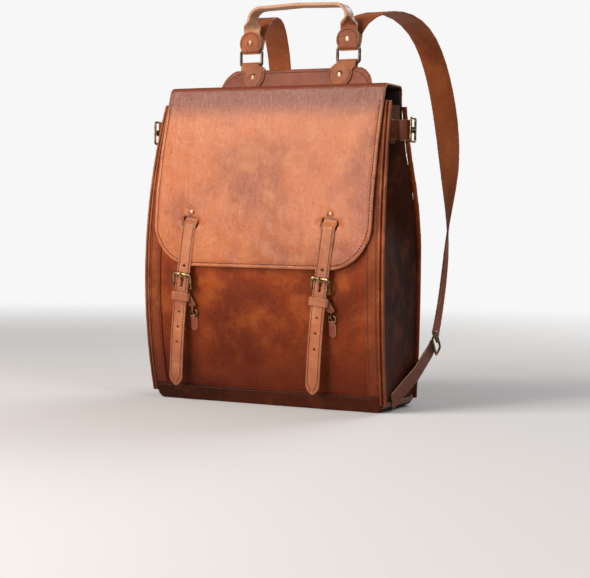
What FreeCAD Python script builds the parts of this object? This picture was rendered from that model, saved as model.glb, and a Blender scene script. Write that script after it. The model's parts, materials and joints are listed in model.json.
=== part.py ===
import FreeCAD, Part
import math
import os

V = FreeCAD.Vector

# ---- driving sizes, mm and degrees ----
body_height = 425.0        # base to the rim of the back panel
body_width = 350.0         # widest, across the two gussets
base_depth = 107.0         # front to back along the base
front_bulge = 25.0         # how far the full front swells past the base
top_depth = 47.0           # front to back at the mouth
leather = 3.0              # panels and flap
strap_leather = 2.6        # straps and tabs
flap_standoff = 4.5        # flap's inner face off the front panel
flap_width = body_width - 24.0
flap_fall = 246.0          # top of the flap to its lower edge
flap_corner = 62.0         # rounding of the flap's lower corners
strap_width = 20.0         # the two closure straps
strap_reach = 238.0        # rivet to strap tip
strap_lean = 6.0           # tips swing this far toward the left
handle_span = 150.0        # between the centres of the two rectangular rings
handle_rise = 68.0         # ring's lower bar to the handle's top
handle_width = 25.0
shoulder_width = 38.0
wire = 4.0                 # rectangular rings
buckle_wire = 3.2

# ---- sizes that follow ----
base_corner = 14.0
rim_z = body_height
half_top = body_width / 2 - 10.0
half_base = body_width / 2 - 3.0
y_back = base_depth / 2
y_rim = y_back - (base_depth - top_depth) * 0.725
y_front_top = y_rim - top_depth
back_straight = body_height * 0.47
strap_x = body_width * 0.297
welt = 4.0


class Run:
    """A run of lines and arcs in a plane, that can be offset to its left."""

    def __init__(self, a, b, heading):
        self.parts = []
        self.a, self.b, self.h = a, b, heading
        self.length = 0.0

    def line(self, length):
        self.parts.append(("line", self.length, length, self.a, self.b, self.h, 0.0))
        self.a += length * math.cos(math.radians(self.h))
        self.b += length * math.sin(math.radians(self.h))
        self.length += length
        return self

    def arc(self, radius, turn):
        length = radius * math.radians(abs(turn))
        side = 1.0 if turn > 0 else -1.0
        self.parts.append(("arc", self.length, length, self.a, self.b, self.h, side * radius))
        h = math.radians(self.h)
        ca = self.a - side * radius * math.sin(h)
        cb = self.b + side * radius * math.cos(h)
        self.h += turn
        h = math.radians(self.h)
        self.a = ca + side * radius * math.sin(h)
        self.b = cb - side * radius * math.cos(h)
        self.length += length
        return self

    def at(self, s, off=0.0):
        chosen = self.parts[0]
        for p in self.parts:
            if s >= p[1] - 1e-9:
                chosen = p
        kind, s0, length, a, b, h0, radius = chosen
        t = s - s0
        if kind == "line":
            h = math.radians(h0)
            a = a + t * math.cos(h)
            b = b + t * math.sin(h)
        else:
            h = math.radians(h0)
            ca = a - radius * math.sin(h)
            cb = b + radius * math.cos(h)
            h = h + t / radius
            a = ca + radius * math.sin(h)
            b = cb - radius * math.cos(h)
        return a - off * math.sin(h), b + off * math.cos(h), math.degrees(h)

    def edges(self, s0, s1, off, put):
        made = []
        for p in self.parts:
            lo = max(s0, p[1])
            hi = min(s1, p[1] + p[2])
            if hi - lo < 1e-6:
                continue
            start = put(*self.at(lo + 1e-7, off)[:2])
            end = put(*self.at(hi - 1e-7, off)[:2])
            if p[0] == "line":
                made.append([start, None, end])
            else:
                made.append([start, put(*self.at((lo + hi) / 2, off)[:2]), end])
        for k in range(len(made) - 1):
            made[k + 1][0] = made[k][2]
        return made

    def find_z(self, z):
        """The place along the run where its second coordinate passes z."""
        lo, hi = 0.0, self.length
        rising = self.at(hi)[1] > self.at(lo)[1]
        for _ in range(60):
            mid = (lo + hi) / 2
            if (self.at(mid)[1] < z) == rising:
                lo = mid
            else:
                hi = mid
        return (lo + hi) / 2


def yz(a, b):
    return V(0, a, b)


def xy(a, b):
    return V(a, b, 0)


def edge(piece):
    if piece[1] is None:
        return Part.makeLine(piece[0], piece[2])
    return Part.Arc(piece[0], piece[1], piece[2]).toShape()


def closed_face(pieces):
    """A flat face from line and arc pieces joined end to end."""
    edges = []
    for k, piece in enumerate(pieces):
        edges.append(edge(piece))
        nxt = pieces[(k + 1) % len(pieces)]
        if piece[2].distanceToPoint(nxt[0]) > 1e-5:
            edges.append(Part.makeLine(piece[2], nxt[0]))
    return Part.Face(Part.Wire(Part.__sortEdges__(edges)))


def band(run, s0, s1, near, far, put=yz):
    """The face between two offsets of a run."""
    out = run.edges(s0, s1, near, put)
    back = [[p[2], p[1], p[0]] for p in reversed(run.edges(s0, s1, far, put))]
    return closed_face(out + back)


def across(face, x0, x1):
    moved = face.copy()
    moved.translate(V(x0, 0, 0))
    return moved.extrude(V(x1 - x0, 0, 0))


def box(x0, x1, y0, y1, z0, z1):
    return Part.makeBox(x1 - x0, y1 - y0, z1 - z0, V(x0, y0, z0))


def circle_of(p, q, r):
    """Centre and radius of the circle through three points."""
    ax, ay, bx, by, cx, cy = p[0], p[1], q[0], q[1], r[0], r[1]
    d = 2 * (ax * (by - cy) + bx * (cy - ay) + cx * (ay - by))
    a2 = ax ** 2 + ay ** 2
    b2 = bx ** 2 + by ** 2
    c2 = cx ** 2 + cy ** 2
    ux = (a2 * (by - cy) + b2 * (cy - ay) + c2 * (ay - by)) / d
    uy = (a2 * (cx - bx) + b2 * (ax - cx) + c2 * (bx - ax)) / d
    return ux, uy, math.hypot(ax - ux, ay - uy)


def prism_xz(points, y0=-400.0, y1=400.0):
    """A block along Y from (x, z) points; an entry of four numbers is an arc's middle and end."""
    pieces = []
    last = points[0]
    for p in points[1:]:
        if len(p) == 2:
            pieces.append([V(last[0], y0, last[1]), None, V(p[0], y0, p[1])])
            last = p
        else:
            pieces.append([V(last[0], y0, last[1]), V(p[0], y0, p[1]), V(p[2], y0, p[3])])
            last = (p[2], p[3])
    return closed_face(pieces).extrude(V(0, y1 - y0, 0))


def biggest(shape):
    solids = sorted(shape.Solids, key=lambda s: s.Volume)
    return solids[-1]


def mirrored(shape):
    return shape.mirror(V(0, 0, 0), V(1, 0, 0))


# ---- the two profiles and the outline of the body ----
front_mid = (-(y_back + front_bulge), body_height * 0.48)
front_cy, front_cz, front_r = circle_of((-y_back, 0.0), front_mid, (y_front_top, rim_z))
front_h0 = math.degrees(math.atan2(0 - front_cz, -y_back - front_cy)) - 90.0
front_rim_z = rim_z - 18.0


def front_turn(z):
    """Degrees of the front arc between the base and height z."""
    a0 = math.asin((0 - front_cz) / front_r)
    a1 = math.asin((z - front_cz) / front_r)
    return math.degrees(a1 - a0)


front = Run(-y_back, 0.0, front_h0).arc(front_r, -front_turn(front_rim_z))
s_front = front.length

lean = y_back - y_rim
rise = rim_z - back_straight
bend = 2 * math.degrees(math.atan2(lean, rise))
bend_r = rise / (2 * math.sin(math.radians(bend)))
back = Run(y_back, 0.0, 90.0).line(back_straight).arc(bend_r, bend).arc(bend_r, -bend)
s_rim = back.length
back.arc(20.0, -20.0)
s_lean = back.length
back.line(60.0)

side_cx, side_cz, side_r = circle_of((half_base, 0.0), (body_width / 2, body_height * 0.4), (half_top, rim_z))


def side_x(z, grow=0.0):
    """Half width of the body at height z."""
    return side_cx + math.sqrt((side_r + grow) ** 2 - (z - side_cz) ** 2)


def outline(grow, base_z, corner, top_z=520.0):
    """The body's outline seen from the front, grown sideways, as a block along Y."""
    r = side_r + grow
    zc = base_z + corner
    xc = side_cx + math.sqrt((r - corner) ** 2 - (zc - side_cz) ** 2)
    ux = (xc - side_cx) / (r - corner)
    uz = (zc - side_cz) / (r - corner)
    tx = side_cx + ux * r
    tz = side_cz + uz * r
    a = (math.atan2(uz, ux) - math.pi / 2) / 2
    mx = xc + corner * math.cos(a)
    mz = zc + corner * math.sin(a)
    hx = side_x(top_z, grow)
    hm = side_x((top_z + tz) / 2, grow)
    return prism_xz([
        (-xc, base_z), (xc, base_z), (mx, mz, tx, tz), (hm, (top_z + tz) / 2, hx, top_z),
        (-hx, top_z), (-hm, (top_z + tz) / 2, -tx, tz), (-mx, mz, -xc, base_z)])


def between(front_off, back_off, low_z, top_z):
    """The side view's area between the front and back profiles, offset inward, as a block along X."""
    f1 = front.find_z(min(top_z, front_rim_z - 0.01))
    b1 = back.find_z(top_z)
    up = front.edges(0.0, f1, -front_off, yz)
    down = [[p[2], p[1], p[0]] for p in reversed(back.edges(0.0, b1, back_off, yz))]
    under = [[yz(down[-1][2].y, -5.0), None, yz(up[0][0].y, -5.0)]]
    face = closed_face(up + down + under)
    block = across(face, -300.0, 300.0)
    return block.common(box(-300, 300, -300, 300, low_z, top_z + 60))


def front_sheet(s0, s1, near, far):
    return across(band(front, s0, s1, near, far), -300.0, 300.0)


def back_sheet(s0, s1, near, far, half=300.0):
    return across(band(back, s0, s1, near, far), -half, half)


# ---- the body ----
def make_front_panel():
    return front_sheet(0.0, s_front, -leather, 0.0).common(outline(-welt, 0.0, 10.0))


def make_front_strip():
    ring = outline(-welt, 0.0, 10.0).cut(outline(-welt - 17.0, 0.0, 10.0))
    strip = front_sheet(0.0, s_front, 0.0, 2.0).common(ring)
    return biggest(strip.common(box(60, 300, -300, 300, 22.0, 480)))


def make_bottom_band():
    strip = front_sheet(0.0, s_front, 0.0, 2.0).common(outline(-welt, 0.0, 10.0))
    return biggest(strip.common(box(-300, 300, -300, 300, -1, 22.0)))


def make_back_panel():
    return back_sheet(0.0, s_rim, 0.0, leather).common(outline(-welt + 1.0, 0.0, 10.0))


def make_side_shell():
    shell = outline(0.0, 0.0, base_corner).cut(outline(-2.5, 2.5, base_corner - 2.5))
    return shell.common(between(leather, leather, 0.0, front_rim_z - 1.0))


def make_gusset(shell):
    return biggest(shell.common(box(20, 300, -300, 300, base_corner, 480)))


def make_bottom_panel(shell):
    return biggest(shell.common(box(-300, 300, -300, 300, -1, base_corner)))


def make_front_welt():
    """Two raw lips along the front corner with a groove between them."""
    lips = outline(welt, -welt, base_corner).cut(outline(-welt, -20.0, 10.0))
    groove = outline(1.0, -20.0, 10.0).cut(outline(-1.0, -20.0, 10.0))
    block = front_sheet(0.0, s_front, -leather, 3.0).common(lips)
    block = block.common(box(60, 300, -300, 300, 10.0, 480))
    block = block.cut(front_sheet(0.0, s_front, -1.0, 9.0).common(groove))
    outside = outline(welt + 1, -20.0, 10.0).cut(outline(0.5, -20.0, 10.0))
    outer = front_sheet(0.0, s_front, 1.5, 9.0).common(outside)
    return biggest(block.cut(outer))


def make_back_welt():
    lips = outline(3.0, -20.0, base_corner).cut(outline(-3.0, -20.0, 10.0))
    block = back_sheet(0.0, s_rim - 22.0, -2.5, leather).common(lips)
    block = block.common(box(60, 300, -300, 300, 10.0, 480))
    groove = outline(0.8, -20.0, 10.0).cut(outline(-0.8, -20.0, 10.0))
    return biggest(block.cut(back_sheet(0.0, s_rim - 22.0, -9.0, 1.0).common(groove)))


def make_lining():
    skin = between(leather + 0.1, leather + 0.1, 2.6, front_rim_z + 10.0).common(outline(-2.6, 2.6, 11.5))
    core = between(leather + 1.2, leather + 1.2, 3.7, front_rim_z + 30.0).common(outline(-3.7, 3.7, 8.5))
    return biggest(skin.cut(core).cut(box(-300, 300, -300, 300, front_rim_z - 8.0, 600)))


def make_sleeve():
    """An open-topped inner pocket against the back, for a flat computer or papers."""
    half = body_width * 0.4
    top = back.find_z(back_straight + 15.0)
    low = back.find_z(5.0)
    near = leather + 1.3
    outer = back_sheet(low, top, near, near + 17.0, half)
    inner = back_sheet(low + 2.0, top + 5.0, near - 1.0, near + 15.0, half - 2.0)
    return biggest(outer.cut(inner))


# ---- the flap ----
flap_r = front_r + flap_standoff
flap_top_z = rim_z + 3.0
fold_r = 8.0
fold_z = flap_top_z - fold_r
fold_y = front_cy - math.sqrt((flap_r - fold_r) ** 2 - (fold_z - front_cz) ** 2)
fold_out = math.degrees(math.atan2(fold_z - front_cz, fold_y - front_cy))
flap_low_z = flap_top_z + leather - flap_fall
flap_run = Run(y_rim, rim_z, 90.0).arc(3.0, 90.0).line(y_rim - 3.0 - fold_y)
s_fold0 = flap_run.length
flap_run.arc(fold_r, fold_out - 90.0)
s_fold1 = flap_run.length
low_a = math.pi - math.asin((flap_low_z - front_cz) / flap_r)
flap_run.arc(flap_r, math.degrees(low_a) - fold_out)
s_flap = flap_run.length
s_hinge1 = 3.0 * math.pi / 4
s_hinge2 = (s_fold0 + s_fold1) / 2


def flap_sheet(s0, s1, near=-leather, far=0.0):
    return across(band(flap_run, s0, s1, near, far), -flap_width / 2, flap_width / 2)


def make_flap_back_strip():
    strip = back_sheet(s_rim - 42.0, s_rim, -leather, 0.0, flap_width / 2)
    return strip.fuse(flap_sheet(0.0, s_hinge1)).removeSplitter()


def make_flap_top():
    return flap_sheet(s_hinge1, s_hinge2)


def flap_outline():
    h = flap_width / 2
    c = flap_corner
    z = flap_low_z
    k = c * (1 - math.sqrt(0.5))
    return prism_xz([
        (-h + c, z), (h - c, z), (h - k, z + k, h, z + c), (h, rim_z + 60.0),
        (-h, rim_z + 60.0), (-h, z + c), (-h + k, z + k, -h + c, z)])


rivet_z = flap_low_z + 72.0


def make_flap():
    sheet = flap_sheet(s_hinge2, s_flap)
    sheet = sheet.common(flap_outline())
    for side in (-1, 1):
        x = side * strap_x
        half = strap_width / 2 + 1.5
        slot = box(x - half, x + half, -300, 0, rivet_z - 20.0, rivet_z - 5.0)
        slot.rotate(V(x, 0, rivet_z), V(0, 1, 0), strap_lean)
        sheet = sheet.cut(slot)
        sheet = sheet.cut(Part.makeCylinder(1.6, 200, V(x, -200, rivet_z), V(0, 1, 0)))
    return biggest(sheet)


# ---- closure straps, seen in a plane that leans with each strap ----
def surface(z, off):
    """Y of the front arc at height z, offset outward."""
    r = front_r + off
    return front_cy - math.sqrt(r ** 2 - (z - front_cz) ** 2)


gap_in = flap_standoff - strap_leather - 0.1
tip_z = rivet_z - strap_reach
bar_low_z = rivet_z - 102.0
bar_top_z = rivet_z - 83.5


def strap_points():
    """Inner face of a closure strap, as (y, z), from its hidden end down to its tip."""
    on = flap_standoff + leather + 0.1
    pts = [(surface(rivet_z + up, gap_in), rivet_z + up) for up in (12.0, 6.0, 0.0, -3.5, -7.0)]
    for down, share in ((9.5, 0.06), (12.5, 0.42), (15.5, 0.82), (18.0, 1.0), (20.5, 1.0)):
        off = gap_in + (on - gap_in) * share
        pts.append((surface(rivet_z - down, off), rivet_z - down))
    z = rivet_z - 28.0
    while z > flap_low_z - 2.0:
        pts.append((surface(z, on), z))
        z -= 12.0
    lows = [(flap_low_z - 8.0, 8.2), (bar_low_z + 8.0, 9.6), (bar_low_z - 10.0, 10.8),
            (bar_low_z - 40.0, 12.0), (bar_low_z - 75.0, 13.5), (bar_low_z - 108.0, 15.0), (tip_z, 17.0)]
    for z, off in lows:
        pts.append((surface(z, off), z))
    return pts


def plate_from(points, thick, x0, x1):
    """A sheet of even thickness outward of a smooth line of (y, z) points."""
    near = Part.BSplineCurve()
    near.interpolate([V(x0, y, z) for y, z in points])
    outer = []
    for k, (y, z) in enumerate(points):
        a = points[max(k - 1, 0)]
        b = points[min(k + 1, len(points) - 1)]
        ty, tz = b[0] - a[0], b[1] - a[1]
        n = math.hypot(ty, tz)
        outer.append(V(x0, y + tz / n * thick, z - ty / n * thick))
    far = Part.BSplineCurve()
    far.interpolate(outer)
    e1 = near.toShape()
    e2 = far.toShape()
    p = points
    s1 = Part.makeLine(V(x0, p[-1][0], p[-1][1]), outer[-1])
    s2 = Part.makeLine(outer[0], V(x0, p[0][0], p[0][1]))
    return Part.Face(Part.Wire([e1, s1, e2, s2])).extrude(V(x1 - x0, 0, 0))


def strap_y(z, off=0.0):
    """Y of the closure strap's inner face at height z."""
    pts = strap_points()
    for a, b in zip(pts, pts[1:]):
        if a[1] >= z >= b[1]:
            t = (a[1] - z) / (a[1] - b[1])
            return a[0] + (b[0] - a[0]) * t - off
    return pts[-1][0] - off


worn_hole = 1                   # the hole that the prong is in
hole_places = [bar_low_z + 30.0, bar_low_z + 10.5, bar_low_z - 33.0, bar_low_z - 54.0, bar_low_z - 75.0]


def lean_to(shape, side):
    """Moves a piece made at x = 0 to its strap's place and leans it with the strap."""
    moved = shape.copy()
    moved.translate(V(side * strap_x, 0, 0))
    moved.rotate(V(side * strap_x, 0, rivet_z), V(0, 1, 0), strap_lean)
    return moved


def make_closure_strap():
    h = strap_width / 2
    sheet = plate_from(strap_points(), strap_leather, -h, h)
    outline_block = prism_xz([
        (h, rivet_z + 12.0), (h, tip_z + 17.0), (h * 0.62, tip_z + 4.5, 0.0, tip_z),
        (-h * 0.62, tip_z + 4.5, -h, tip_z + 17.0), (-h, rivet_z + 12.0), (h, rivet_z + 12.0)])
    strap = sheet.common(outline_block)
    for k, z in enumerate(hole_places):
        if k != worn_hole:
            strap = strap.cut(Part.makeCylinder(1.9, 200, V(0, -200, z), V(0, 1, 0)))
    strap = strap.cut(box(-1.7, 1.7, -200, 0, bar_low_z + 0.8, hole_places[worn_hole] + 3.4))
    strap = strap.cut(Part.makeCylinder(1.6, 200, V(0, -200, rivet_z), V(0, 1, 0)))
    return biggest(strap)


def bar(p, q, r):
    d = q - p
    return Part.makeCylinder(r, d.Length, p, d)


def loop_of(points, r, bend):
    """A closed loop of round wire through corner points, bent at each to the given radius."""
    edges = []
    start = (points[-1] + points[0]) * 0.5
    last = start
    for k, p in enumerate(points):
        before = (points[k - 1] - p).normalize()
        after = (points[(k + 1) % len(points)] - p).normalize()
        centre = p + (before + after) * bend
        first = p + before * bend
        edges.append(Part.makeLine(last, first))
        last = p + after * bend
        middle = centre + (p - centre).normalize() * bend
        edges.append(Part.Arc(first, middle, last).toShape())
    edges.append(Part.makeLine(last, start))
    section = Part.Wire(Part.makeCircle(r, start, points[0] - points[-1]))
    return Part.Wire(edges).makePipeShell([section], True, False)


roller_wall = 0.8
roller_r = buckle_wire / 2 + roller_wall
top_bar_y = strap_y(bar_top_z) - strap_leather - roller_r - 0.4
eye_wall = 1.0
low_bar_y = strap_y(bar_low_z) + buckle_wire / 2 + eye_wall + 0.1
buckle_half = strap_width / 2 + 1.4 + buckle_wire / 2


def make_buckle():
    w = buckle_half
    pts = [V(-w, top_bar_y, bar_top_z), V(w, top_bar_y, bar_top_z),
           V(w, low_bar_y, bar_low_z), V(-w, low_bar_y, bar_low_z)]
    return loop_of(pts, buckle_wire / 2, 2.0)


def make_roller():
    w = buckle_half - buckle_wire / 2 - 0.5
    bore = buckle_wire / 2 + 0.08
    tube = bar(V(-w, top_bar_y, bar_top_z), V(w, top_bar_y, bar_top_z), roller_r)
    return tube.cut(bar(V(-w - 1, top_bar_y, bar_top_z), V(w + 1, top_bar_y, bar_top_z), bore))


def make_prong():
    """A tongue hooked round the buckle's lower bar, through the strap and onto the roller."""
    r = buckle_wire / 2
    thick = 1.15
    hole_z = hole_places[worn_hole]
    lift = roller_r + thick + 0.15
    path = [V(0, low_bar_y, bar_low_z + r + thick - 0.2),
            V(0, strap_y(hole_z) - strap_leather / 2, hole_z - 0.6),
            V(0, top_bar_y - lift + 0.2, bar_top_z - 4.0), V(0, top_bar_y - lift, bar_top_z + 0.8)]
    eye = Part.makeCylinder(r + eye_wall, 3.2, V(-1.6, low_bar_y, bar_low_z), V(1, 0, 0))
    shape = eye
    for p, q in zip(path, path[1:]):
        shape = shape.fuse(bar(p, q, thick)).fuse(Part.makeSphere(thick, q))
    return biggest(shape.cut(bar(V(-5, low_bar_y, bar_low_z), V(5, low_bar_y, bar_low_z), r + 0.04)))


keeper_z = bar_low_z - 12.0
tab_thick = 2.0


def make_keeper():
    """A stitched loop round the closure strap, sewn to the tab behind it."""
    h = strap_width / 2 + 0.6
    y_out = strap_y(keeper_z) - strap_leather - 0.5
    y_in = strap_y(keeper_z) + 0.35
    outer = box(-h - 2.0, h + 2.0, y_out - 2.0, y_in + 1.6, keeper_z - 5.5, keeper_z + 5.5)
    inner = box(-h, h, y_out, y_in, keeper_z - 9, keeper_z + 9)
    upright = [e for e in outer.Edges if abs(e.Vertexes[0].Z - e.Vertexes[-1].Z) > 5]
    outer = outer.makeFillet(1.2, upright)
    ring = outer.cut(inner)
    slope = math.degrees(math.atan2(strap_y(keeper_z - 5) - strap_y(keeper_z + 5), 10.0))
    ring.rotate(V(0, strap_y(keeper_z), keeper_z), V(1, 0, 0), slope)
    return ring


tab_gap = 2.25                   # from the closure strap's inner face to the tab
hook_z = rivet_z - 134.5        # where the hook's finger enters the anchor ring
hook_x = 3.0                     # anchor ring's place beside the rivet's plumb line
ring_major = 5.2
ring_wire = 2.0
anchor_width = 9.0
ring_z = hook_z - 1.5
ring_off = ring_wire / 2 + 0.2 + 2.0
ring_y = surface(ring_z - ring_major, ring_off)


def make_buckle_tab(side):
    """Leather folded round the buckle's lower bar and running down to the hook."""
    inner = buckle_wire / 2 + 0.1
    fold = Part.makeCylinder(inner + 1.7, 16, V(-8, low_bar_y, bar_low_z), V(1, 0, 0))
    fold = fold.cut(Part.makeCylinder(inner, 20, V(-10, low_bar_y, bar_low_z), V(1, 0, 0)))
    fold = fold.cut(box(-20, 20, low_bar_y - 20, low_bar_y - inner + 0.1, bar_low_z - 20, bar_low_z + 20))
    fold = fold.cut(box(-2.0, 2.0, low_bar_y - 20, low_bar_y + 20, bar_low_z - 20, bar_low_z + 20))
    fold = lean_to(fold, side)
    top = bar_low_z - 3.2
    low = hook_z + 8.0
    pts = []
    for k in range(4):
        z = top + (low - top) * k / 3.0
        pts.append((strap_y(z) + tab_gap + tab_thick, z))
    plate = plate_from(pts, tab_thick, -60, 60)
    lean_x = -(rivet_z - bar_low_z) * math.tan(math.radians(strap_lean))
    shape = prism_xz([(lean_x - 7.5, top), (hook_x - 5.5, low + 3.0),
                      (hook_x, low - 1.0, hook_x + 5.5, low + 3.0), (lean_x + 7.5, top), (lean_x - 7.5, top)])
    plate = plate.common(shape)
    plate.translate(V(side * strap_x, 0, 0))
    return fold.fuse(plate)


def make_hook():
    """A brass hook riveted to the tab, its finger reaching in through the anchor ring."""
    r = 1.2
    y = strap_y(hook_z + 8.0) + tab_gap + tab_thick + r
    top = V(hook_x, y, hook_z + 15.0)
    low = V(hook_x, y, hook_z)
    tip = V(hook_x, ring_y + 1.2, hook_z)
    stem = bar(top, low, r).fuse(Part.makeSphere(r, top))
    return stem.fuse(Part.makeSphere(r, low)).fuse(bar(low, tip, r))


def make_anchor_ring():
    return Part.makeTorus(ring_major, ring_wire / 2, V(hook_x, ring_y, ring_z), V(0, 1, 0))


def make_anchor_tab():
    """A narrow stitched tab on the front panel, folded round the ring's lowest point."""
    z = ring_z - ring_major
    r_in = ring_wire / 2 + 0.2
    start = V(hook_x - anchor_width / 2 + 2, ring_y, z)
    fold = Part.makeCylinder(r_in + 2.0, anchor_width - 4, start, V(1, 0, 0))
    leaf = front_sheet(front.find_z(z - 19.0), front.find_z(z - 0.5), 0.0, 4.0)
    leaf = leaf.common(prism_xz([
        (hook_x - anchor_width / 2, z + 3.0), (hook_x - anchor_width / 2, z - 14.0),
        (hook_x, z - 18.5, hook_x + anchor_width / 2, z - 14.0), (hook_x + anchor_width / 2, z + 3.0),
        (hook_x - anchor_width / 2, z + 3.0)]))
    tab = fold.fuse(leaf)
    tab = tab.cut(Part.makeTorus(ring_major, r_in, V(hook_x, ring_y, ring_z), V(0, 1, 0)))
    return biggest(tab.common(front_sheet(0.0, s_front, 0.0, 20.0)))


rivet_dome = 1.5


def pin(x, z, r, y_front, y_rear, head):
    """A rivet along Y: a domed head in front, a shank, and a flat washer behind."""
    dome_r = (head ** 2 + rivet_dome ** 2) / (2 * rivet_dome)
    dome = Part.makeSphere(dome_r, V(x, y_front - rivet_dome + dome_r, z))
    dome = dome.common(Part.makeCylinder(head, rivet_dome, V(x, y_front - rivet_dome, z), V(0, 1, 0)))
    shank = Part.makeCylinder(r, y_rear - y_front, V(x, y_front, z), V(0, 1, 0))
    washer = Part.makeCylinder(head * 0.8, 0.9, V(x, y_rear, z), V(0, 1, 0))
    return dome.fuse(shank).fuse(washer)


# ---- the grab handle and what it hangs on ----
panel_thick = 4.8               # two layers
tab_leather = 2.6
s_panel_top = s_lean + 31.0
s_bar = s_panel_top + 8.0
bar_y, bar_z, _ = back.at(s_bar, -leather - panel_thick / 2)
ring_half = 16.5
ring_tall = 21.0
top_bar = bar_z + ring_tall
handle_x = handle_span / 2
leaf_top = top_bar + 27.0
lower_round = 18.0
end_round = 17.0
fold_in = panel_thick / 2


def make_handle_panel():
    top_z = back.at(s_panel_top, -leather)[1] + 2.0
    half = handle_x + 41.0
    sheet = back_sheet(s_rim - 40.0, s_panel_top, -leather - panel_thick, -leather)
    shoulder = 32.0
    side = [(-half, rim_z - 60.0), (half, rim_z - 60.0), (half, rim_z + 3.0)]
    side += [(half - 9.5, top_z - 9.0, half - shoulder, top_z), (shoulder - half, top_z)]
    side += [(9.5 - half, top_z - 9.0, -half, rim_z + 3.0), (-half, rim_z - 60.0)]
    panel = sheet.common(prism_xz(side))
    for sgn in (-1, 1):
        panel = panel.cut(tab_pin(sgn, 1.7))
    return biggest(panel)


def tab_axis():
    """Where the lower tab's rivet goes through, in the tilted panel."""
    return back.at(s_lean + 2.0 + lower_round, -leather)


def tab_pin(side, r):
    y, z, h = tab_axis()
    d = V(0, math.sin(math.radians(h)), -math.cos(math.radians(h)))
    return Part.makeCylinder(r, 40, V(side * (handle_x - 8.0), y, z) - d * 15, d)


def bulb(x_round, z_round, r, x_neck, z_neck, half, end_z):
    """A round end narrowing to a neck, as a block along Y."""
    up = 1.0 if z_neck > z_round else -1.0
    disc = Part.makeCylinder(r, 400, V(x_round, -200, z_round), V(0, 1, 0))
    reach = r * 0.94
    start_z = z_round + up * r * 0.34
    neck = prism_xz([(x_round - reach, start_z), (x_neck - half, z_neck), (x_neck - half, end_z),
                     (x_neck + half, end_z), (x_neck + half, z_neck), (x_round + reach, start_z),
                     (x_round - reach, start_z)])
    return disc.fuse(neck)


def make_lower_tab():
    a, b, h = back.at(s_lean + 2.0, -leather)
    reach = s_bar - s_lean - 2.0
    run = Run(a, b, h).line(reach).arc(fold_in, -180.0).line(reach)
    leaf = across(band(run, 0.0, run.length, 0.0, tab_leather), -300.0, 300.0)
    z_round = tab_axis()[1]
    shape = bulb(handle_x - 8.0, z_round, lower_round, handle_x, bar_z - 7.0, 13.0, bar_z + 20.0)
    return biggest(leaf.common(shape).cut(tab_pin(1, 1.7)))


def make_tab_rivets():
    y, z, h = tab_axis()
    out = []
    for side in (-1, 1):
        rivet = pin(0, 0, 1.7, -tab_leather, panel_thick + tab_leather, 4.6)
        rivet.rotate(V(0, 0, 0), V(1, 0, 0), h - 90.0)
        rivet.translate(V(side * (handle_x - 8.0), y, z))
        out.append(rivet)
    return Part.makeCompound(out)


def make_rect_ring():
    pts = [(-ring_half, 0.0), (ring_half, 0.0), (ring_half, ring_tall), (-ring_half, ring_tall)]
    return loop_of([V(handle_x + x, bar_y, bar_z + z) for x, z in pts], wire / 2, 3.5)


def make_end_tab():
    reach = leaf_top - top_bar
    run = Run(bar_y - fold_in, leaf_top, -90.0).line(reach).arc(fold_in, 180.0).line(reach)
    leaf = across(band(run, 0.0, run.length, -tab_leather, 0.0), -300.0, 300.0)
    shape = bulb(handle_x, leaf_top - end_round, end_round, handle_x, top_bar + 4.0, 13.0, top_bar - 20.0)
    hole = Part.makeCylinder(1.7, 60, V(handle_x, bar_y - 30, leaf_top - end_round), V(0, 1, 0))
    return biggest(leaf.common(shape).cut(hole))


def make_end_rivets():
    out = []
    for side in (-1, 1):
        front_y = bar_y - fold_in - tab_leather
        rear_y = bar_y + fold_in + tab_leather + strap_leather + 0.5
        out.append(pin(side * handle_x, leaf_top - end_round, 1.7, front_y, rear_y, 4.6))
    return Part.makeCompound(out)


def ribbon(stations, thick):
    """A strap through stations (centre, width direction, width), square to its own run."""
    wires = []
    for k, (c, w, width) in enumerate(stations):
        a = stations[max(k - 1, 0)][0]
        b = stations[min(k + 1, len(stations) - 1)][0]
        t = (b - a).normalize()
        w = (w - t * w.dot(t)).normalize()
        n = t.cross(w)
        p = [c + w * (width / 2) + n * (thick / 2), c - w * (width / 2) + n * (thick / 2),
             c - w * (width / 2) - n * (thick / 2), c + w * (width / 2) - n * (thick / 2)]
        wires.append(Part.makePolygon(p + [p[0]]))
    return Part.makeLoft(wires, True, True)


handle_thick = panel_thick - 0.2
corner_r = 17.0
ring_play = 11.0                 # the rings' lower bars down to where the rise is measured from
handle_top = bar_z + handle_rise + ring_play


def turned(deg):
    """Width direction, turned from across the bag toward front-to-back."""
    return V(math.cos(math.radians(deg)), math.sin(math.radians(deg)), 0)


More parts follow.
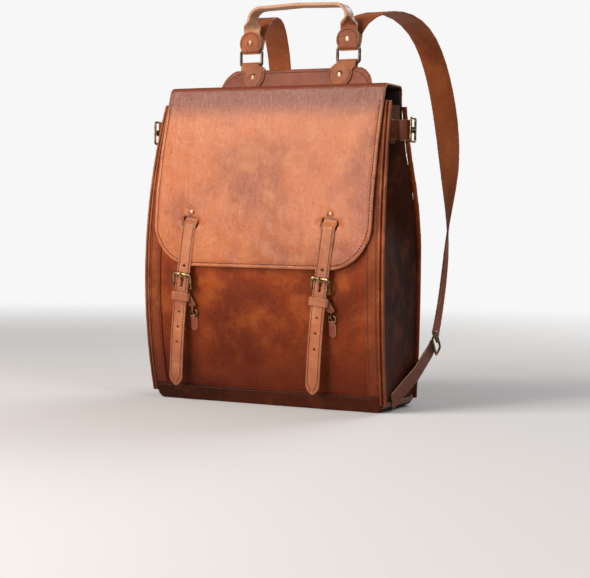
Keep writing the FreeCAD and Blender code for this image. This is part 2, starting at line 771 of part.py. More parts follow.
def make_handle_strap():
    """Flat between the end tabs' leaves, a quarter twist above them, and an arch across."""
    half = []
    low = top_bar + 5.0
    corner_z = handle_top - corner_r
    half.append((V(handle_x, bar_y, low), turned(0), handle_width))
    half.append((V(handle_x, bar_y, leaf_top + 0.3), turned(0), handle_width))
    steps = 8
    for k in range(1, steps + 1):
        t = k / steps
        z = leaf_top + 0.3 + (corner_z - leaf_top - 0.3) * t
        half.append((V(handle_x, bar_y, z), turned(90 * (3 * t * t - 2 * t ** 3)), handle_width))
    for k in range(1, 7):
        a = math.radians(90.0 * k / 6)
        c = V(handle_x - corner_r + corner_r * math.cos(a), bar_y, corner_z + corner_r * math.sin(a))
        half.append((c, turned(90), handle_width))
    for t in (0.35, 0.7):
        x = (handle_x - corner_r) * (1 - t)
        half.append((V(x, bar_y, handle_top + 2.0 * t), turned(90), handle_width))
    other = [(V(-c.x, c.y, c.z), w, width) for c, w, width in reversed(half)]
    middle = [(V(0, bar_y, handle_top + 2.2), turned(90), handle_width)]
    strap = ribbon(half + middle + other, handle_thick)
    for side in (-1, 1):
        start = V(side * handle_x, bar_y - 30, leaf_top - end_round)
        strap = strap.cut(Part.makeCylinder(1.7, 60, start, V(0, 1, 0)))
    return biggest(strap)


# ---- shoulder straps, their lower anchors and the side cinches ----
def smooth(points, count):
    """Evenly stepped points on a smooth curve through hand-placed ones, with a 0 to 1 share of the way."""
    curve = Part.BSplineCurve()
    curve.interpolate([V(*p) for p in points])
    found = curve.discretize(Number=count)
    return [(p, k / (count - 1.0)) for k, p in enumerate(found)]


low_buckle = V(body_width / 2 + 4.0, y_back + 52.0, 82.0)


def shoulder_route():
    """Centre line of the worn strap, from behind the end tab over the shoulder to the lower buckle."""
    y0 = bar_y + fold_in + tab_leather + strap_leather / 2 + 0.15
    x, z = handle_x, leaf_top
    return [(x, y0, z - 26), (x, y0 + 0.2, z - 17), (x, y0 + 2.2, z - 8), (x + 1, y0 + 8, z + 1),
            (x + 4, y0 + 20, z + 12), (x + 11, y0 + 42, z + 23), (x + 20, y0 + 76, z + 30),
            (x + 30, y0 + 112, z + 28), (x + 41, y0 + 148, z + 12), (x + 52, y0 + 186, z - 34),
            (x + 62, y0 + 206, z - 104), (x + 72, y0 + 203, z - 180), (x + 81, y0 + 180, z - 262),
            (x + 90, y0 + 143, z - 338), (x + 98, y0 + 102, z - 398),
            (low_buckle.x - 0.5, low_buckle.y + 4, low_buckle.z + 6)]


def make_shoulder_strap():
    stations = []
    for p, t in smooth(shoulder_route(), 34):
        twist = min(max((t - 0.45) / 0.4, 0.0), 1.0)
        twist = twist * twist * (3 - 2 * twist)
        narrow = min(max((t - 0.62) / 0.2, 0.0), 1.0)
        width = shoulder_width * min(1.0, 0.82 + t * 2.4) - (shoulder_width - 22.0) * narrow
        w = V(math.cos(math.radians(88 * twist)), -math.sin(math.radians(88 * twist)), 0.0)
        stations.append((p, w, width))
    strap = ribbon(stations, strap_leather)
    hole = Part.makeCylinder(4.0, 60, V(handle_x, bar_y - 30, leaf_top - end_round), V(0, 1, 0))
    return biggest(strap.cut(hole))


def make_lower_strap():
    """Sewn low on the gusset, crossing it to the rear and reaching the shoulder strap's buckle."""
    x = half_base + 0.6 + strap_leather / 2
    end = low_buckle
    middle_y = (y_back + 18 + end.y) / 2
    route = [(x + 0.3, -30, 13), (x + 1.2, -8, 22), (x + 3.2, 18, 34), (end.x + 0.2, y_back - 8, 47),
             (end.x + 0.6, y_back + 14, 60), (end.x, middle_y, 70), (end.x, end.y - 5, end.z - 3)]
    stations = [(p, V(0, -0.5, 0.86), 22.0) for p, _ in smooth(route, 14)]
    return biggest(ribbon(stations, strap_leather))


def make_lower_buckle():
    """The slide that joins the shoulder strap to its lower anchor."""
    t = V(0, 0.8, 0.6)
    w = V(0, -0.6, 0.8)
    c = low_buckle
    pts = [c - t * 9 - w * 14.5, c - t * 9 + w * 14.5, c + t * 9 + w * 14.5, c + t * 9 - w * 14.5]
    pts = [p + V(3.6, 0, 0) for p in pts]
    return loop_of(pts, 1.6, 3.0)


cinch_z = body_height * 0.87
cinch_wide = 26.0
cinch_bow = 15.0


def cinch_run():
    """The side strap's run seen from above, from the front corner round to the back."""
    x = side_x(cinch_z - cinch_wide / 2) + 0.3
    y0 = surface(cinch_z + cinch_wide / 2, 0.0) + leather + 1.0
    y1 = back.at(back.find_z(cinch_z))[0] - 5.0
    span = y1 - y0 - 26.0
    turn = math.degrees(2 * math.atan2(2 * cinch_bow, span)) if span > 2 else 20.0
    radius = span / (2 * math.sin(math.radians(turn)) + 1e-9) * 0.5
    run = Run(x, y0, 90.0).line(6.0).arc(radius, -turn).line(4.0).arc(radius, turn)
    run.arc(radius, turn).line(4.0).arc(radius, -turn).line(6.0)
    return run


def make_cinch_strap():
    run = cinch_run()
    face = band(run, 0.0, run.length, -strap_leather, 0.0, xy)
    face.translate(V(0, 0, cinch_z - cinch_wide / 2))
    return face.extrude(V(0, 0, cinch_wide))


def make_cinch_buckle():
    run = cinch_run()
    x, y, h = run.at(run.length / 2, -strap_leather / 2)
    half = cinch_wide / 2 + 2.2
    pts = [V(x + 3.8, y - 8, cinch_z - half), V(x + 3.8, y + 8, cinch_z - half),
           V(x + 3.8, y + 8, cinch_z + half), V(x + 3.8, y - 8, cinch_z + half)]
    frame = loop_of(pts, 1.6, 3.0)
    pad = box(x + 1.35, x + 2.9, y - 6, y + 6, cinch_z - 4, cinch_z + 4)
    tongue = bar(V(x + 3.8, y - 8, cinch_z), V(x + 3.8, y + 8, cinch_z), 1.2)
    return frame.fuse(tongue).fuse(pad)


def make_cinch_rivets():
    run = cinch_run()
    out = []
    for side in (-1, 1):
        for s in (3.0, run.length - 3.0):
            x, y, h = run.at(s, -strap_leather)
            head = Part.makeCylinder(2.8, 1.2, V(x, y, cinch_z), V(1, 0, 0))
            head = head.makeFillet(0.4, [e for e in head.Edges if e.CenterOfMass.x > x + 1.1])
            out.append(head if side > 0 else mirrored(head))
    return Part.makeCompound(out)


def make_closure_rivets():
    y_front = surface(rivet_z, flap_standoff + leather) - 0.35
    y_rear = surface(rivet_z, gap_in) + 0.5
    out = []
    for side in (-1, 1):
        out.append(pin(side * strap_x, rivet_z, 1.6, y_front, y_rear, 4.4))
    return Part.makeCompound(out)


def beside(shape, side):
    """Moves a piece made at x = 0 to its closure strap's plumb line."""
    moved = shape.copy()
    moved.translate(V(side * strap_x, 0, 0))
    return moved


def pair(name, shape):
    save(name + "_right", shape)
    save(name + "_left", mirrored(shape))


def save(name, shape):
    if shape.ShapeType == "Compound" and len(shape.Solids) == 1:
        shape = shape.Solids[0]
    ok = shape.isValid()
    b = shape.BoundBox
    place = "x %.1f %.1f  y %.1f %.1f  z %.1f %.1f" % (b.XMin, b.XMax, b.YMin, b.YMax, b.ZMin, b.ZMax)
    print("%-24s %d solid(s) valid %s  %s" % (name, len(shape.Solids), ok, place))
    shape.exportStep("parts/" + name + ".step")


def main():
    os.makedirs("parts", exist_ok=True)
    save("front_panel", make_front_panel())
    strip = make_front_strip()
    save("front_strip_right", strip)
    save("front_strip_left", mirrored(strip))
    save("bottom_band", make_bottom_band())
    save("back_panel", make_back_panel())
    shell = make_side_shell()
    gusset = make_gusset(shell)
    save("gusset_right", gusset)
    save("gusset_left", mirrored(gusset))
    save("bottom_panel", make_bottom_panel(shell))
    lips = make_front_welt()
    save("front_welt_right", lips)
    save("front_welt_left", mirrored(lips))
    lips = make_back_welt()
    save("back_welt_right", lips)
    save("back_welt_left", mirrored(lips))
    save("lining", make_lining())
    save("inner_sleeve", make_sleeve())
    save("flap_back_strip", make_flap_back_strip())
    save("flap_top", make_flap_top())
    save("flap", make_flap())
    strap = make_closure_strap()
    buckle = make_buckle()
    roller = make_roller()
    prong = make_prong()
    keeper = make_keeper()
    hook = make_hook()
    ring = make_anchor_ring()
    anchor = make_anchor_tab()
    for side, word in ((-1, "left"), (1, "right")):
        save("closure_strap_" + word, lean_to(strap, side))
        save("buckle_" + word, lean_to(buckle, side))
        save("roller_" + word, lean_to(roller, side))
        save("prong_" + word, lean_to(prong, side))
        save("keeper_" + word, lean_to(keeper, side))
        save("buckle_tab_" + word, make_buckle_tab(side))
        save("anchor_hook_" + word, beside(hook, side))
        save("anchor_ring_" + word, beside(ring, side))
        save("anchor_tab_" + word, beside(anchor, side))
    save("closure_rivets", make_closure_rivets())
    save("handle_panel", make_handle_panel())
    pair("lower_handle_tab", make_lower_tab())
    save("lower_tab_rivets", make_tab_rivets())
    pair("handle_ring", make_rect_ring())
    pair("end_tab", make_end_tab())
    save("end_tab_rivets", make_end_rivets())
    save("handle_strap", make_handle_strap())
    pair("shoulder_strap", make_shoulder_strap())
    pair("lower_strap", make_lower_strap())
    pair("lower_buckle", make_lower_buckle())
    pair("cinch_strap", make_cinch_strap())
    pair("cinch_buckle", make_cinch_buckle())
    save("cinch_rivets", make_cinch_rivets())
    print("hinge1", flap_run.at(s_hinge1, -leather))
    print("hinge2", flap_run.at(s_hinge2, -leather))
    print("ring", ring_y, ring_z, "bar", bar_y, bar_z, "roller", top_bar_y, "leaf_top", leaf_top)
    print("rivet_z", rivet_z, "flap_low_z", flap_low_z, "bars", bar_low_z, bar_top_z, "tip", tip_z)


main()
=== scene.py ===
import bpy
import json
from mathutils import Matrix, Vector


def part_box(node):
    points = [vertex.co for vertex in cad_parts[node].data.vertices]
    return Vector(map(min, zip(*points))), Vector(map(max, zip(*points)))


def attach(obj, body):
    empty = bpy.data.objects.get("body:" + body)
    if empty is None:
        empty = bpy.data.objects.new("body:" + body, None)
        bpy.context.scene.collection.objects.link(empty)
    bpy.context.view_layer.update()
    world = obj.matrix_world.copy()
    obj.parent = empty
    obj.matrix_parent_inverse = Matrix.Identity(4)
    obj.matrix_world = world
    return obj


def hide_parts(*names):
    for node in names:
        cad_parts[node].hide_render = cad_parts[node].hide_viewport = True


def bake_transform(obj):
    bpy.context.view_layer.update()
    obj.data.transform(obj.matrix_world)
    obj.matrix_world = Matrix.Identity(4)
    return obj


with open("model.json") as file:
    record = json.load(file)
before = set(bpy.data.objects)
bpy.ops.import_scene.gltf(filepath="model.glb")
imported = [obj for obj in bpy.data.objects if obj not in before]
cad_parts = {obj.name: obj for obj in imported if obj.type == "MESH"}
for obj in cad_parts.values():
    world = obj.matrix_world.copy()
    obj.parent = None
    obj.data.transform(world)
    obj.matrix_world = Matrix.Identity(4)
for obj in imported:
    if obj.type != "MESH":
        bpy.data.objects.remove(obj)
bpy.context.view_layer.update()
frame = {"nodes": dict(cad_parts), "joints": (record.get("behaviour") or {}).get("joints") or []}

import json
import math

import bmesh
import bpy
import numpy as np
from mathutils import Matrix, Vector, noise
from mathutils.bvhtree import BVHTree

MM = 0.001
LEATHER = 3.0 * MM
FRONT = Vector((0, -1, 0))
REAR = Vector((0, 1, 0))


# ---- camera, light and stage ----
def make_camera():
    turn = math.radians(26.2)
    tip = math.radians(2.5)
    roll = math.radians(0.96)
    back = Vector((math.sin(turn) * math.cos(tip), -math.cos(turn) * math.cos(tip), math.sin(tip)))
    right = Vector((math.cos(turn), math.sin(turn), 0))
    up = back.cross(right)
    side = right * math.cos(roll) + up * math.sin(roll)
    top = up * math.cos(roll) - right * math.sin(roll)
    lens = bpy.data.cameras.new("camera")
    lens.lens = 90.8
    lens.sensor_width = 36.0
    camera = bpy.data.objects.new("camera", lens)
    aim = Vector((0.0139, 0, 0.1552))
    distance = 2.05
    place = aim + back * distance
    axes = Matrix((side, top, back)).transposed().to_4x4()
    camera.matrix_world = Matrix.Translation(place) @ axes
    bpy.context.collection.objects.link(camera)
    bpy.context.scene.camera = camera


def area_light(name, place, aim, size, watts, colour=(1, 1, 1)):
    lamp = bpy.data.lights.new(name, "AREA")
    lamp.shape = "RECTANGLE"
    lamp.size, lamp.size_y = size
    lamp.energy = watts
    lamp.color = colour
    holder = bpy.data.objects.new(name, lamp)
    way = Vector(aim) - Vector(place)
    holder.matrix_world = Matrix.Translation(place) @ way.to_track_quat("-Z", "Y").to_matrix().to_4x4()
    bpy.context.collection.objects.link(holder)


def make_world():
    world = bpy.data.worlds.new("studio")
    bpy.context.scene.world = world
    world.use_nodes = True
    tree = world.node_tree
    tree.nodes.clear()
    seen = tree.nodes.new("ShaderNodeBackground")
    seen.inputs["Color"].default_value = (0.93, 0.93, 0.93, 1)
    fill = tree.nodes.new("ShaderNodeBackground")
    fill.inputs["Color"].default_value = (0.15, 0.15, 0.16, 1)
    path = tree.nodes.new("ShaderNodeLightPath")
    mix = tree.nodes.new("ShaderNodeMixShader")
    out = tree.nodes.new("ShaderNodeOutputWorld")
    tree.links.new(path.outputs["Is Camera Ray"], mix.inputs[0])
    tree.links.new(fill.outputs[0], mix.inputs[1])
    tree.links.new(seen.outputs[0], mix.inputs[2])
    tree.links.new(mix.outputs[0], out.inputs["Surface"])


def make_stage():
    """A pale floor that the bag stands on, fading out round it."""
    fade_from = 0.9
    fade_to = 2.6
    bpy.ops.mesh.primitive_grid_add(x_subdivisions=2, y_subdivisions=2, size=6.0, location=(0, 0, -0.0004))
    floor = bpy.context.object
    floor.name = "studio_floor"
    material = bpy.data.materials.new("pale_floor")
    material.use_nodes = True
    shader = material.node_tree.nodes["Principled BSDF"]
    shader.inputs["Base Color"].default_value = (0.72, 0.71, 0.70, 1)
    shader.inputs["Roughness"].default_value = 0.9
    tree = material.node_tree
    length = tree.nodes.new("ShaderNodeVectorMath")
    length.operation = "LENGTH"
    tree.links.new(tree.nodes.new("ShaderNodeTexCoord").outputs["Object"], length.inputs[0])
    tree.links.new(ramp_node(tree, length.outputs["Value"], fade_to, fade_from), shader.inputs["Alpha"])
    floor.data.materials.append(material)


# ---- materials ----
def group_socket(group, name, way, kind, value=None):
    socket = group.interface.new_socket(name, in_out=way, socket_type=kind)
    if value is not None:
        socket.default_value = value
    return socket


def noise_node(tree, place, scale, detail, rough=0.55):
    node = tree.nodes.new("ShaderNodeTexNoise")
    node.inputs["Scale"].default_value = scale
    node.inputs["Detail"].default_value = detail
    node.inputs["Roughness"].default_value = rough
    tree.links.new(place, node.inputs["Vector"])
    return node


def ramp_node(tree, value, low, high):
    """Turns a value between low and high into 0 to 1."""
    node = tree.nodes.new("ShaderNodeMapRange")
    node.interpolation_type = "SMOOTHSTEP"
    node.inputs["From Min"].default_value = low
    node.inputs["From Max"].default_value = high
    tree.links.new(value, node.inputs["Value"])
    return node.outputs["Result"]


def mix_colour(tree, share, a, b, blend="MIX"):
    node = tree.nodes.new("ShaderNodeMix")
    node.data_type = "RGBA"
    node.blend_type = blend
    for value, socket in ((share, node.inputs[0]), (a, node.inputs[6]), (b, node.inputs[7])):
        if isinstance(value, (int, float, tuple)):
            socket.default_value = value
        else:
            tree.links.new(value, socket)
    return node.outputs[2]


def maths(tree, kind, a, b):
    node = tree.nodes.new("ShaderNodeMath")
    node.operation = kind
    for value, socket in ((a, node.inputs[0]), (b, node.inputs[1])):
        if isinstance(value, (int, float)):
            socket.default_value = value
        else:
            tree.links.new(value, socket)
    return node.outputs[0]


def make_hide_group():
    """Waxed, hand-dyed hide: cloudy dye, dark pores, fine scratches and a pebbled grain, with painted shade
    mixed in towards the dark colour by the Shadow input.
    """
    group = bpy.data.node_groups.new("waxed_hide", "ShaderNodeTree")
    group_socket(group, "Place", "INPUT", "NodeSocketVector")
    group_socket(group, "Dark", "INPUT", "NodeSocketColor")
    group_socket(group, "Middle", "INPUT", "NodeSocketColor")
    group_socket(group, "Light", "INPUT", "NodeSocketColor")
    group_socket(group, "Shadow", "INPUT", "NodeSocketFloat", 0.0)
    for name, kind in (("Colour", "NodeSocketColor"), ("Roughness", "NodeSocketFloat"),
                       ("Height", "NodeSocketFloat")):
        group_socket(group, name, "OUTPUT", kind)
    given = group.nodes.new("NodeGroupInput")
    made = group.nodes.new("NodeGroupOutput")
    place = given.outputs["Place"]
    clouds = noise_node(group, place, 9.0, 4.0).outputs["Fac"]
    blots = noise_node(group, place, 34.0, 6.0, 0.62).outputs["Fac"]
    flecks = noise_node(group, place, 190.0, 5.0, 0.65).outputs["Fac"]
    deep = maths(group, "MULTIPLY", ramp_node(group, clouds, 0.58, 0.34), 0.62)
    dye_and_painted_shade = mix_colour(group, deep, given.outputs["Middle"], given.outputs["Dark"])
    pale = maths(group, "MULTIPLY", ramp_node(group, blots, 0.44, 0.76), 0.55)
    dye_and_painted_shade = mix_colour(group, pale, dye_and_painted_shade, given.outputs["Light"])
    worn = ramp_node(group, flecks, 0.54, 0.80)
    dye_and_painted_shade = mix_colour(group, maths(group, "MULTIPLY", worn, 0.35), dye_and_painted_shade, given.outputs["Light"])
    stain = ramp_node(group, flecks, 0.48, 0.28)
    dye_and_painted_shade = mix_colour(group, maths(group, "MULTIPLY", stain, 0.40), dye_and_painted_shade, given.outputs["Dark"])
    # Painted shade: the Shadow input darkens the colour towards Dark.
    dye_and_painted_shade = mix_colour(group, given.outputs["Shadow"], dye_and_painted_shade, given.outputs["Dark"])
    pebbles = group.nodes.new("ShaderNodeTexVoronoi")
    pebbles.feature = "DISTANCE_TO_EDGE"
    pebbles.inputs["Scale"].default_value = 620.0
    group.links.new(place, pebbles.inputs["Vector"])
    grain = ramp_node(group, pebbles.outputs["Distance"], 0.0, 0.16)
    ripple = noise_node(group, place, 120.0, 5.0, 0.6).outputs["Fac"]
    slant = group.nodes.new("ShaderNodeMapping")
    slant.inputs["Rotation"].default_value = (0.0, math.radians(38), 0.0)
    slant.inputs["Scale"].default_value = (1.0, 1.0, 0.32)
    group.links.new(place, slant.inputs["Vector"])
    crease = noise_node(group, slant.outputs["Vector"], 95.0, 4.0, 0.6).outputs["Fac"]
    fine = maths(group, "ADD", maths(group, "MULTIPLY", grain, 0.16), maths(group, "MULTIPLY", ripple, 0.7))
    height = maths(group, "ADD", fine, maths(group, "MULTIPLY", crease, 1.5))
    rough = maths(group, "ADD", maths(group, "MULTIPLY", flecks, 0.30), maths(group, "MULTIPLY", blots, 0.12))
    group.links.new(dye_and_painted_shade, made.inputs["Colour"])
    group.links.new(rough, made.inputs["Roughness"])
    group.links.new(height, made.inputs["Height"])
    return group


HIDE = make_hide_group()


def place_of(tree):
    """Where a point of the piece was made, so that the finish stays on it as it bends."""
    node = tree.nodes.new("ShaderNodeAttribute")
    node.attribute_name = "made_at"
    return node.outputs["Vector"]


def bump_into(tree, shader, height, strength, distance):
    bump = tree.nodes.new("ShaderNodeBump")
    bump.inputs["Strength"].default_value = strength
    bump.inputs["Distance"].default_value = distance
    tree.links.new(height, bump.inputs["Height"])
    tree.links.new(bump.outputs["Normal"], shader.inputs["Normal"])


def hide_material(name, dark, middle, light, gloss, shine=0.2, shade=None, bump=0.6):
    """Leather; shade is (low z, high z, strength) for painted shade that darkens the colour downward, or
    upward if negative.
    """
    material = bpy.data.materials.new(name)
    material.use_nodes = True
    tree = material.node_tree
    shader = tree.nodes["Principled BSDF"]
    place = place_of(tree)
    hide = tree.nodes.new("ShaderNodeGroup")
    hide.node_tree = HIDE
    tree.links.new(place, hide.inputs["Place"])
    for socket, colour in (("Dark", dark), ("Middle", middle), ("Light", light)):
        hide.inputs[socket].default_value = colour + (1.0,)
    # Painted shade: a ramp in height darkens the hide downward, or upward when the strength is negative.
    if shade:
        split = tree.nodes.new("ShaderNodeSeparateXYZ")
        tree.links.new(place, split.inputs[0])
        start, end = (shade[1], shade[0]) if shade[2] > 0 else (shade[0], shade[1])
        painted_shade_share = ramp_node(tree, split.outputs["Z"], start, end)
        tree.links.new(maths(tree, "MULTIPLY", painted_shade_share, abs(shade[2])), hide.inputs["Shadow"])
    tree.links.new(hide.outputs["Colour"], shader.inputs["Base Color"])
    tree.links.new(maths(tree, "ADD", hide.outputs["Roughness"], gloss - 0.2), shader.inputs["Roughness"])
    shader.inputs["Specular IOR Level"].default_value = shine
    bump_into(tree, shader, hide.outputs["Height"], bump, 0.0013)
    return material


def plain_material(name, colour, other, scale, roughness, bump=0.3, sheen=0.0):
    """A two-tone fibrous finish for cut edges, the inner faces, cloth and thread."""
    material = bpy.data.materials.new(name)
    material.use_nodes = True
    tree = material.node_tree
    shader = tree.nodes["Principled BSDF"]
    place = place_of(tree)
    fibres = noise_node(tree, place, scale, 4.0, 0.6).outputs["Fac"]
    tree.links.new(mix_colour(tree, ramp_node(tree, fibres, 0.38, 0.62), colour + (1,), other + (1,)),
                   shader.inputs["Base Color"])
    shader.inputs["Roughness"].default_value = roughness
    shader.inputs["Sheen Weight"].default_value = sheen
    bump_into(tree, shader, fibres, bump, 0.0006)
    return material


def metal_material(name, bright, patina, roughness):
    """Rubbed metal with a patchy dark patina."""
    material = bpy.data.materials.new(name)
    material.use_nodes = True
    tree = material.node_tree
    shader = tree.nodes["Principled BSDF"]
    place = tree.nodes.new("ShaderNodeTexCoord").outputs["Object"]
    patches = noise_node(tree, place, 160.0, 5.0, 0.65).outputs["Fac"]
    tone = mix_colour(tree, ramp_node(tree, patches, 0.40, 0.60), patina + (1,), bright + (1,))
    tree.links.new(tone, shader.inputs["Base Color"])
    shader.inputs["Metallic"].default_value = 1.0
    tree.links.new(maths(tree, "ADD", maths(tree, "MULTIPLY", patches, 0.25), roughness - 0.12),
                   shader.inputs["Roughness"])
    scratches = noise_node(tree, place, 900.0, 3.0).outputs["Fac"]
    bump_into(tree, shader, scratches, 0.15, 0.0003)
    return material


# The flap's last tuple is painted shade: the hide darkens from 378 mm up into the fold over the mouth.
FLAP = hide_material("flap_hide", (0.19, 0.032, 0.007), (0.50, 0.130, 0.026), (0.62, 0.23, 0.075),
                     0.33, 0.6, (0.378, 0.412, -0.95))
# The last tuple of the body, frame strip and corner lip hides is painted shade: they darken towards the
# bottom of the bag.
BODY = hide_material("body_hide", (0.060, 0.007, 0.002), (0.33, 0.054, 0.009), (0.50, 0.125, 0.022),
                     0.36, 0.12, (0.0, 0.20, 0.85))
FRAME_HIDE = hide_material("frame_strip_hide", (0.07, 0.010, 0.003), (0.25, 0.048, 0.010),
                           (0.42, 0.12, 0.030), 0.36, 0.15, (0.0, 0.20, 0.6))
LIP = hide_material("corner_lip_hide", (0.07, 0.012, 0.003), (0.27, 0.062, 0.015), (0.52, 0.17, 0.055),
                    0.36, 0.2, (0.0, 0.20, 0.6))
# Painted shade: the side walls and the bottom get a nearly black copy of the body hide, as dark as they look
# in shade.
SHADED_SIDE_HIDE = hide_material("side_hide_painted_shade", (0.008, 0.0018, 0.001), (0.045, 0.009, 0.003), (0.16, 0.040, 0.012),
                       0.42, 0.08)
# Painted shade: the rounded bottom band gets a nearly black copy of the body hide, as dark as it looks in
# shade.
SHADED_BAND = hide_material("bottom_band_painted_shade", (0.012, 0.0025, 0.001), (0.055, 0.010, 0.0025), (0.14, 0.028, 0.006),
                     0.38, 0.1)
# Painted shade: the closure straps darken towards their low ends.
STRAP = hide_material("strap_hide", (0.22, 0.045, 0.012), (0.48, 0.145, 0.042), (0.66, 0.30, 0.14),
                      0.36, 0.5, (0.0, 0.17, 0.35))
TAB = hide_material("tab_hide", (0.15, 0.030, 0.007), (0.36, 0.088, 0.019), (0.50, 0.18, 0.055), 0.36, 0.3)
PANEL = hide_material("handle_panel_hide", (0.11, 0.020, 0.006), (0.27, 0.058, 0.016), (0.36, 0.095, 0.03),
                      0.36, 0.3)
SMALL_TAB = hide_material("small_tab_hide", (0.12, 0.022, 0.010), (0.27, 0.065, 0.030), (0.40, 0.14, 0.07),
                          0.4)
DARK_TAB = hide_material("side_tab_hide", (0.05, 0.009, 0.004), (0.16, 0.036, 0.012), (0.28, 0.075, 0.026),
                         0.36)
SHOULDER = hide_material("shoulder_hide", (0.14, 0.028, 0.007), (0.32, 0.080, 0.020), (0.46, 0.15, 0.045),
                         0.38)
RAW_EDGE = plain_material("raw_edge", (0.50, 0.22, 0.11), (0.68, 0.40, 0.24), 700.0, 0.7)
DARK_EDGE = plain_material("rubbed_edge", (0.10, 0.028, 0.012), (0.22, 0.075, 0.034), 500.0, 0.55)
SUEDE = plain_material("suede_back", (0.42, 0.20, 0.09), (0.56, 0.31, 0.16), 900.0, 0.85, 0.4, 0.2)
INSIDE = plain_material("flap_inside", (0.020, 0.010, 0.007), (0.045, 0.022, 0.014), 700.0, 0.9, 0.4)
CLOTH = plain_material("lining_cloth", (0.012, 0.010, 0.009), (0.030, 0.026, 0.024), 1400.0, 0.9, 0.4)
THREAD = plain_material("waxed_thread", (0.070, 0.014, 0.007), (0.14, 0.034, 0.017), 1500.0, 0.5)
HOLE_SHADE = plain_material("stitch_hole_painted_shade", (0.008, 0.003, 0.002), (0.025, 0.008, 0.005), 900.0, 0.8)
BRASS = metal_material("antique_brass", (0.40, 0.27, 0.12), (0.085, 0.052, 0.026), 0.32)
BRONZE = metal_material("dark_bronze", (0.22, 0.14, 0.09), (0.06, 0.038, 0.026), 0.34)
COPPER = metal_material("copper", (0.72, 0.38, 0.25), (0.34, 0.14, 0.08), 0.40)


# ---- making and finishing pieces ----
def new_piece(name, verts, faces, materials):
    mesh = bpy.data.meshes.new(name)
    mesh.from_pydata([tuple(v) for v in verts], [], faces)
    mesh.update()
    for material in materials:
        mesh.materials.append(material)
    piece = bpy.data.objects.new(name, mesh)
    bpy.context.collection.objects.link(piece)
    return piece


def settle(piece):
    """Applies every modifier of the piece."""
    bpy.context.view_layer.update()
    shaped = bpy.data.meshes.new_from_object(piece.evaluated_get(bpy.context.evaluated_depsgraph_get()))
    shaped.name = piece.name
    piece.modifiers.clear()
    piece.data = shaped
    return piece


def soften(name, nodes, voxel, passes=4):
    """One even, rounded mesh from copies of CAD nodes."""
    joined = bmesh.new()
    for node in nodes:
        joined.from_mesh(frame["nodes"][node].data)
    bmesh.ops.remove_doubles(joined, verts=joined.verts, dist=1e-6)
    mesh = bpy.data.meshes.new(name)
    joined.to_mesh(mesh)
    joined.free()
    mesh.materials.clear()
    piece = bpy.data.objects.new(name, mesh)
    bpy.context.collection.objects.link(piece)
    even = piece.modifiers.new("even", "REMESH")
    even.mode = "VOXEL"
    even.voxel_size = voxel
    ease = piece.modifiers.new("ease", "SMOOTH")
    ease.factor = 0.5
    ease.iterations = passes
    return settle(piece)


def tree_of(piece):
    mesh = piece.data
    return BVHTree.FromPolygons([v.co for v in mesh.vertices], [p.vertices[:] for p in mesh.polygons])


def places(piece):
    flat = np.empty(len(piece.data.vertices) * 3, np.float32)
    piece.data.vertices.foreach_get("co", flat)
    return flat.reshape(-1, 3)


def press(piece, shift):
    """Moves every point of the piece by a vector worked out from its place."""
    points = places(piece)
    moved = [shift(Vector(p)) for p in points.tolist()]
    piece.data.vertices.foreach_set("co", (points + np.array(moved, np.float32)).ravel())
    piece.data.update()


def paint(piece, materials, outward):
    """Materials for the face, the cut edge and the back, told apart by how each polygon lies."""
    mesh = piece.data
    for material in materials:
        mesh.materials.append(material)
    count = len(mesh.polygons)
    normals = np.empty(count * 3, np.float32)
    centres = np.empty(count * 3, np.float32)
    mesh.polygons.foreach_get("normal", normals)
    mesh.polygons.foreach_get("center", centres)
    out = outward(centres.reshape(-1, 3))
    out = out / np.linalg.norm(out, axis=1, keepdims=True)
    facing = np.einsum("ij,ij->i", normals.reshape(-1, 3), out)
    kinds = np.where(facing > 0.62, 0, np.where(facing < -0.62, 2, 1))
    kinds = np.minimum(kinds, len(materials) - 1)
    mesh.polygons.foreach_set("material_index", kinds.astype(np.int32))


def paint_band(piece, materials, width_way, out_way):
    """The same for a bowed band, whose cut edges are the polygons that face along its width."""
    mesh = piece.data
    for material in materials:
        mesh.materials.append(material)
    normals = np.empty(len(mesh.polygons) * 3, np.float32)
    mesh.polygons.foreach_get("normal", normals)
    normals = normals.reshape(-1, 3)
    edge = np.abs(normals @ np.array(Vector(width_way).normalized())) > 0.62
    kinds = np.where(edge, 1, np.where(normals @ np.array(out_way, float) > 0, 0, 2))
    mesh.polygons.foreach_set("material_index", kinds.astype(np.int32))


def toward(x, y, z):
    """The same outward direction all over a piece."""
    return lambda centres: np.tile(np.array([[x, y, z]], float), (len(centres), 1))


def finish(piece, body=None, nodes=()):
    """Smooth shading, the made_at place, the replaced nodes and the body."""
    mesh = piece.data
    mesh.polygons.foreach_set("use_smooth", [True] * len(mesh.polygons))
    spots = mesh.attributes.new("made_at", "FLOAT_VECTOR", "POINT")
    spots.data.foreach_set("vector", places(piece).ravel())
    if nodes:
        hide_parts(*nodes)
    if body:
        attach(piece, body)
    return piece


def smooth_step(t):
    t = min(max(t, 0.0), 1.0)
    return t * t * (3 - 2 * t)


def bump_at(d, width):
    """A bell that is 1 at no distance and fades out over the width."""
    return math.exp(-(d / width) ** 2)


def wander(x, y, scale, seed=0.0):
    """Gentle unevenness between -1 and 1."""
    return noise.noise(Vector((x * scale, y * scale, seed)))


# ---- places read from the frame ----
def node_tree(name):
    return tree_of(frame["nodes"][name])


def half_width_rows():
    """Half width of the body at steps of height, from the gusset."""
    wall = node_tree("gusset_right")
    lowest = 0.0145
    step = 0.0095
    rows = []
    for k in range(42):
        z = lowest + k * step
        hit = wall.ray_cast(Vector((0.4, 0.0, z)), Vector((-1, 0, 0)))
        if hit[0] is not None:
            rows.append((z, hit[0].x))
    return rows


HALF_ROWS = half_width_rows()


